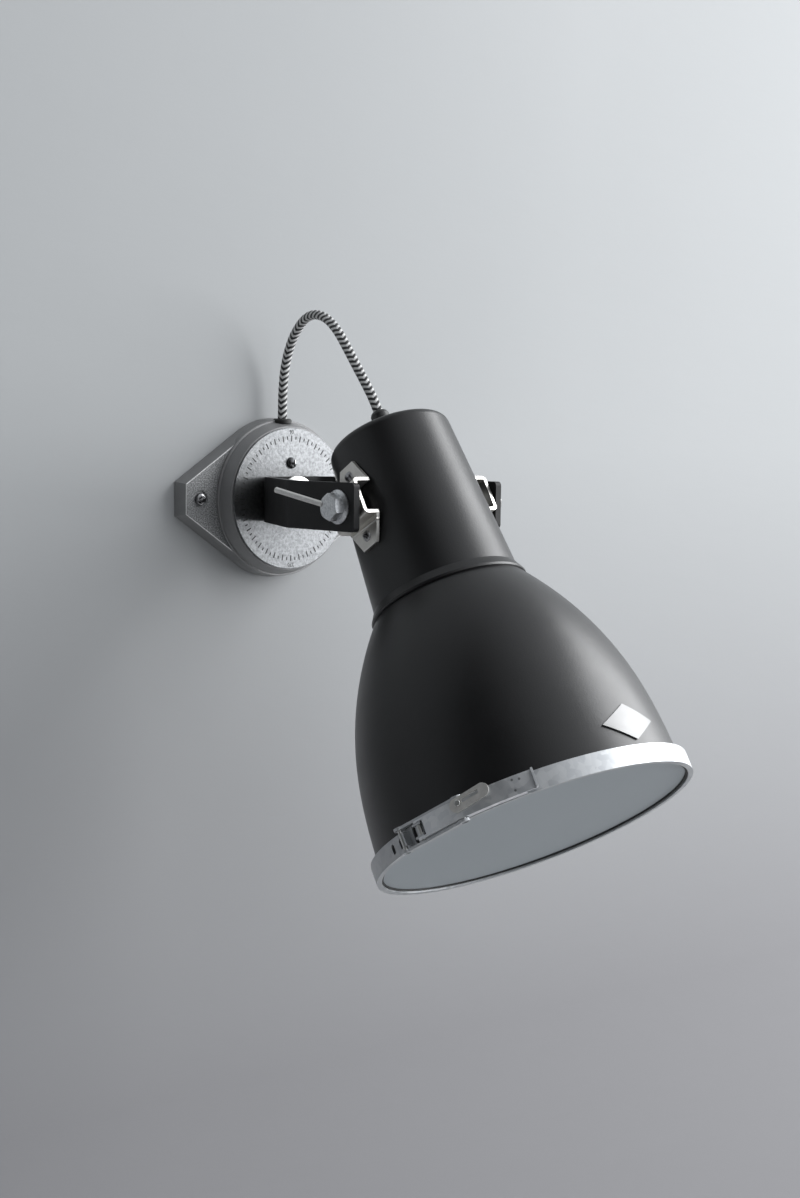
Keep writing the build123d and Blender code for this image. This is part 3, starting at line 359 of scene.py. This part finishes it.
MATERIALS = {
    "cast_base": cast_base(),
    "dial_silver": dial_silver(),
    "dark_screw": metal("dark_screw", (0.17, 0.17, 0.175), (0.30, 0.30, 0.305), 0.24, 300, 0.3),
    "zinc": metal("zinc", (0.60, 0.60, 0.58), (0.74, 0.74, 0.72), 0.3, 70),
    "fibre": metal("fibre", (0.03, 0.03, 0.03), (0.06, 0.06, 0.055), 0.75, 200, 0.3, metallic=0.0),
    "porcelain": coat("porcelain", (0.72, 0.70, 0.64), (0.80, 0.78, 0.73), (0.2, 0.32), (40, 3),
                      ((300, 2), 0.05, 0.0003), Roughness=0.25),
    "earth": metal("earth", (0.52, 0.40, 0.17), (0.68, 0.53, 0.25), 0.32, 90),
    "rubber_black": coat("rubber_black", (0.010, 0.010, 0.010), (0.022, 0.022, 0.021), (0.55, 0.7), (60, 3),
                         ((1800, 2), 0.15, 0.0001), Roughness=0.62),
    "cord_braid": braid(),
    "black_powder": coat("black_powder", (0.0055, 0.0054, 0.0058), (0.0088, 0.0086, 0.0092), (0.33, 0.39),
                         (22, 3, 0.55), *POWDER_GRAIN, Roughness=0.36, Specular_IOR_Level=0.48),
    "nickel": nickel(),
    "grip_black": coat("grip_black", (0.010, 0.010, 0.011), (0.018, 0.018, 0.018), (0.34, 0.48), (90, 3),
                       ((1200, 2), 0.12, 0.0001), Roughness=0.4),
    "galvanised": galvanised("galvanised", (0.49, 0.505, 0.52), (0.60, 0.612, 0.62)),
    "glass_frosted": frosted_glass(),
    "bulb_clear": coat("bulb_opal", (0.74, 0.73, 0.70), (0.80, 0.79, 0.77), (0.26, 0.34), (30, 2),
                       ((900, 1), 0.04, 0.0001), Roughness=0.3, Subsurface_Weight=0.15,
                       Subsurface_Radius=(0.004, 0.004, 0.004)),
    "badge": metal("badge", (0.195, 0.195, 0.195), (0.235, 0.235, 0.235), 0.5, 90, 0.2, metallic=0.9),
}
INK = coat("ink_black", (0.012, 0.012, 0.012), (0.04, 0.04, 0.04), (0.5, 0.7), (1500, 2), Roughness=0.6)
OWN = {  # for nodes that look unlike the rest of their slot
    "yoke": coat("yoke_black", (0.0090, 0.0090, 0.0094), (0.0130, 0.0129, 0.0134), (0.45, 0.56), (30, 3, 0.55),
                 *POWDER_GRAIN, Roughness=0.5, Specular_IOR_Level=0.26),
    # Painted light: a lighter copy of the galvanised sheet, for the window light the lever catches
    "latch_lever": galvanised("galvanised_lit_lever", (0.70, 0.72, 0.74), (0.84, 0.85, 0.86), LEVER_MARKS),
    # Painted light: a lighter copy of the plated nickel, for the window light the catch catches
    "safety_catch": metal("nickel_lit_catch", (0.80, 0.78, 0.74), (0.90, 0.88, 0.84), 0.34, 260, 0.2, metallic=0.75),
    "bracket_screws": metal("screw_steel", (0.20, 0.20, 0.205), (0.42, 0.42, 0.43), 0.27, 260, 0.3),
    "clamp_bolt": metal("bolt_zinc", (0.46, 0.475, 0.49), (0.76, 0.77, 0.78), 0.33, 620, 0.4),
    "clamp_rod": metal("rod_zinc", (0.66, 0.65, 0.63), (0.78, 0.77, 0.75), 0.36, 420, 0.2),
}

for entry in frame["record"]["subparts"]:
    node = frame["nodes"][entry["node"]]
    material = OWN.get(entry["node"]) or MATERIALS[entry["material_slot"]]
    node.data.materials.clear()
    node.data.materials.append(material)


# ---- mesh helpers ----
def new_mesh(name, bm, material, body=None, smooth=True):
    mesh = bpy.data.meshes.new(name)
    bm.normal_update()
    bm.to_mesh(mesh)
    bm.free()
    for polygon in mesh.polygons:
        polygon.use_smooth = smooth
    piece = bpy.data.objects.new(name, mesh)
    bpy.context.scene.collection.objects.link(piece)
    mesh.materials.append(material)
    if body:
        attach(piece, body)
    return piece


def lathe(bm, profile, place, steps):
    """Turns (radius, height) points round Z and puts them at a place."""
    rings = []
    for radius, height in profile:
        ring = []
        for k in range(steps):
            angle = 2 * math.pi * k / steps
            ring.append(bm.verts.new(place @ Vector((radius * math.cos(angle), radius * math.sin(angle), height))))
        rings.append(ring)
    for low, high in zip(rings, rings[1:]):
        for k in range(steps):
            bm.faces.new((low[k], low[(k + 1) % steps], high[(k + 1) % steps], high[k]))
    bm.faces.new(list(reversed(rings[0])))
    bm.faces.new(rings[-1])


def outward(x, depth):
    """A place on the wall side whose Z points out of the wall."""
    return Matrix.Translation((x, -depth, 0)) @ Matrix.Rotation(math.radians(90), 4, "X")


def turned(degrees):
    return Matrix.Rotation(math.radians(degrees), 4, "Z")


# ---- wall screws in the ears ----
def slotted_head(bm, place):
    """A pan head made of two halves either side of its slot, with the slot's floor between them."""
    steps = 20
    for side in (1, -1):
        rows = []
        for radius_part, height_part in SCREW_ROWS:
            radius = SCREW_R * radius_part
            row = []
            first = math.asin(SCREW_SLOT / 2 / radius)
            for k in range(steps + 1):
                angle = first + (math.pi - 2 * first) * k / steps
                spot = Vector((radius * math.cos(angle), side * radius * math.sin(angle), SCREW_HIGH * height_part))
                row.append(bm.verts.new(place @ spot))
            rows.append(row)
        for low, high in zip(rows, rows[1:]):
            for k in range(steps):
                quad = (low[k], low[k + 1], high[k + 1], high[k])
                bm.faces.new(quad if side > 0 else quad[::-1])
        bm.faces.new(rows[-1] if side > 0 else rows[-1][::-1])
        flank = [row[0] for row in rows] + [row[-1] for row in reversed(rows)]
        bm.faces.new(flank[::-1] if side > 0 else flank)
    lathe(bm, [(SCREW_R * 0.98, 0), (SCREW_R * 0.98, SCREW_HIGH * 0.4)], place, 40)


def wall_screws():
    bm = bmesh.new()
    for side, turn in SCREW_TURNS.items():
        place = outward(side * EAR_HOLE, EAR_FACE)
        slotted_head(bm, place @ Matrix.Rotation(turn, 4, "Z"))
        lathe(bm, [(SHANK_R, -EAR_FACE), (SHANK_R, SHANK_IN_HEAD)], place, 24)
    piece = new_mesh("wall_screws", bm, MATERIALS["dark_screw"], "base")
    edge = piece.modifiers.new("edge", "BEVEL")
    edge.width = SCREW_EDGE
    edge.segments = 2
    edge.limit_method = "ANGLE"
    edge.angle_limit = math.radians(35)


# ---- dial marks ----
def dial_ticks():
    """Black paint that fills the grooves and stands a little proud of the dial's face."""
    bm = bmesh.new()
    for k in range(TICKS):
        long = k % 2 == 0
        length = TICK_LONG if long else TICK_SHORT
        middle = (TICK_END_R if long else TICK_END_R - SHORT_INSET) - length / 2
        place = outward(0, DIAL_FRONT - TICK_DEEP) @ turned(5 * k)
        corners = []
        for z in (0.0, TICK_THICK):
            for x, y in ((-1, -1), (1, -1), (1, 1), (-1, 1)):
                corners.append(bm.verts.new(place @ Vector((middle + x * length / 2, y * TICK_HALF_WIDTH, z))))
        under, top = corners[:4], corners[4:]
        bm.faces.new(under[::-1])
        bm.faces.new(top)
        for a in range(4):
            b = (a + 1) % 4
            bm.faces.new((under[a], under[b], top[b], top[a]))
    new_mesh("dial_ticks", bm, INK, "base", smooth=False)


def dial_numbers():
    """Plain degrees at the four quarters."""
    bm = bmesh.new()
    for degrees in (0, 90, 180, 270):
        text = bpy.data.curves.new("number", "FONT")
        text.body = str(degrees)
        text.size = FIGURE_SIZE
        text.align_x = "CENTER"
        text.align_y = "CENTER"
        text.resolution_u = 2
        text.offset = FIGURE_BOLD
        item = bpy.data.objects.new("number", text)
        flat = bpy.data.meshes.new_from_object(item)
        place = outward(0, DIAL_FRONT + FIGURE_PROUD) @ turned(degrees)
        flat.transform(place @ Matrix.Translation((FIGURE_R, 0, 0)) @ turned(-90))
        bm.from_mesh(flat)
        bpy.data.objects.remove(item)
        bpy.data.curves.remove(text)
        bpy.data.meshes.remove(flat)
    new_mesh("dial_numbers", bm, INK, "base", smooth=False)


# ---- jumper cord ----
def route_line():
    """The smooth line of the cord's route, as points."""
    curve = bpy.data.curves.new("route", "CURVE")
    curve.dimensions = "3D"
    curve.resolution_u = 24
    spline = curve.splines.new("NURBS")
    spline.points.add(len(CORD_ROUTE) - 1)
    for point, (y, z) in zip(spline.points, CORD_ROUTE):
        point.co = (0, y / 1000, z / 1000, 1)
    spline.order_u = 3
    spline.use_endpoint_u = True
    item = bpy.data.objects.new("route", curve)
    line = bpy.data.meshes.new_from_object(item)
    points = [v.co.copy() for v in line.vertices]
    bpy.data.objects.remove(item)
    bpy.data.curves.remove(curve)
    bpy.data.meshes.remove(line)
    return points


def cord_tube(name, points, start_along, closed_at_start):
    """A tube along the points, closed at one end; also gives how far along the cord it ends."""
    bm = bmesh.new()
    uv = bm.loops.layers.uv.new("braid")
    side = Vector((1, 0, 0))
    rings, along = [], [start_along]
    for k, point in enumerate(points):
        before, after = points[max(k - 1, 0)], points[min(k + 1, len(points) - 1)]
        tangent = (after - before).normalized()
        up = tangent.cross(side).normalized()
        if k:
            along.append(along[-1] + (point - points[k - 1]).length)
        ring = []
        for s in range(CORD_SIDES):
            angle = 2 * math.pi * s / CORD_SIDES
            ring.append(bm.verts.new(point + CORD_D / 2 * (math.cos(angle) * side + math.sin(angle) * up)))
        rings.append(ring)
    for k in range(len(rings) - 1):
        for s in range(CORD_SIDES):
            t = (s + 1) % CORD_SIDES
            face = bm.faces.new((rings[k][s], rings[k][t], rings[k + 1][t], rings[k + 1][s]))
            spots = ((along[k], s), (along[k], s + 1), (along[k + 1], s + 1), (along[k + 1], s))
            for loop, (a, turn) in zip(face.loops, spots):
                loop[uv].uv = (a, turn / CORD_SIDES)
    bm.faces.new(rings[0] if closed_at_start else rings[-1][::-1])
    bmesh.ops.recalc_face_normals(bm, faces=bm.faces)
    return new_mesh(name, bm, MATERIALS["cord_braid"]), along[-1]


def jumper_cord():
    """Two pieces that meet at the top of the loop."""
    points = route_line()
    top = max(range(len(points)), key=lambda k: points[k].z)
    lower, upper = points[:top + 1], points[top:]
    first, reached = cord_tube("cord_lower", lower, 0.0, True)
    second, end = cord_tube("cord_upper", upper, reached, False)
    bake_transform(first)
    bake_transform(second)
    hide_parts("jumper_cord")
    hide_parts("jumper_cord")


# ---- stage, light and camera ----
WALL_Y = 0.0008
FLOOR_Z = -1.25


def floor_paint():
    m = Nodes("floor_paint", Roughness=0.9)
    cloud = m.noise(1.6, 3, 0.5)
    m.colour(m.blend(m.spread(cloud, 0.3, 0.7), (0.50, 0.50, 0.50), (0.54, 0.54, 0.54)))
    m.bump((m.noise(420, 2), 0.05, 0.0003))
    return m.material


def wall_paint():
    """Plaster seen from the room only, with painted shade: darker towards the floor and far to the right."""
    m = Nodes("wall_paint", Roughness=0.9)
    # Painted shade: darker towards the floor, where the window's light falls off
    painted_shade_low = m.spread(m.axis("Z"), -0.46, 0.04)
    cloud = m.noise(1.6, 3, 0.5)
    light = m.blend(m.spread(cloud, 0.3, 0.7), (0.385, 0.396, 0.402), (0.408, 0.418, 0.424))
    # Painted shade: darker far to the right, past the window's side
    light = m.blend(m.spread(m.axis("X"), 0.33, 0.66), light, (0.345, 0.354, 0.360))
    m.colour(m.blend(painted_shade_low, (0.245, 0.243, 0.252), light))
    m.bump((m.noise(9, 5, 0.6, (1, 1, 3)), 0.15, 0.002), (m.noise(420, 2), 0.06, 0.0003))
    mix = m.add("MixShader")
    m.feed(mix, "Fac", m.add("NewGeometry").outputs["Backfacing"])
    m.feed(mix, 1, m.shader.outputs[0])
    m.feed(mix, 2, m.add("BsdfTransparent").outputs[0])
    m.feed(m.tree.nodes["Material Output"], "Surface", mix.outputs[0])
    return m.material


def sheet_of(name, corners, material):
    bm = bmesh.new()
    bm.faces.new([bm.verts.new(c) for c in corners])
    piece = new_mesh(name, bm, material, smooth=False)


def stage():
    y, z = WALL_Y, FLOOR_Z
    floor = floor_paint()
    sheet_of("wall", [(-4, y, z), (4, y, z), (4, y, 2.6), (-4, y, 2.6)], wall_paint())
    sheet_of("floor", [(-4, -5, z), (4, -5, z), (4, 3, z), (-4, 3, z)], floor)


def window():
    """A tall window to the right, in front of the wall."""
    place, target = Vector((1.60, -0.86, 0.62)), Vector((0, -0.12, -0.02))
    light = bpy.data.lights.new("window", "AREA")
    light.shape = "RECTANGLE"
    light.size, light.size_y = 1.5, 1.9
    light.energy = 62
    light.color = (0.98, 0.99, 1.0)
    item = bpy.data.objects.new("window", light)
    bpy.context.scene.collection.objects.link(item)
    item.location = place
    item.rotation_euler = (target - place).to_track_quat("-Z", "Y").to_euler()


def room():
    """Soft light from the window's side, in a room that is dark to the left and in front."""
    world = bpy.data.worlds.new("world")
    bpy.context.scene.world = world
    world.use_nodes = True
    nodes, links = world.node_tree.nodes, world.node_tree.links
    background = nodes["Background"]
    background.inputs["Color"].default_value = (0.93, 0.96, 1.0, 1)
    way = nodes.new("ShaderNodeTexCoord")
    side = nodes.new("ShaderNodeVectorMath")
    side.operation = "DOT_PRODUCT"
    side.inputs[1].default_value = (0.80, -0.50, 0.33)
    ramp = nodes.new("ShaderNodeMapRange")
    ramp.interpolation_type = "SMOOTHSTEP"
    for socket, value in {"From Min": -0.25, "From Max": 1.0, "To Min": 0.035, "To Max": 1.32}.items():
        ramp.inputs[socket].default_value = value
    links.new(way.outputs["Generated"], side.inputs[0])
    links.new(side.outputs["Value"], ramp.inputs["Value"])
    links.new(ramp.outputs["Result"], background.inputs["Strength"])


def camera():
    """The photograph's camera, from the fit of the object's edges."""
    data = bpy.data.cameras.new("camera")
    item = bpy.data.objects.new("camera", data)
    bpy.context.scene.collection.objects.link(item)
    right = Vector((0.76483, -0.64411, 0.01280)).normalized()
    back = Vector((-0.64272, -0.76152, 0.08363))
    back = (back - back.dot(right) * right).normalized()
    up = back.cross(right)
    item.matrix_world = Matrix((
        (right.x, up.x, back.x, -0.94373),
        (right.y, up.y, back.y, -1.27345),
        (right.z, up.z, back.z, 0.05484),
        (0, 0, 0, 1)))
    data.sensor_width = 36
    data.lens = 61.14
    data.clip_start = 0.01
    data.clip_end = 30
    bpy.context.scene.camera = item


wall_screws()
dial_ticks()
dial_numbers()
jumper_cord()
stage()
window()
room()
camera()
bpy.context.scene.view_settings.view_transform = "Standard"
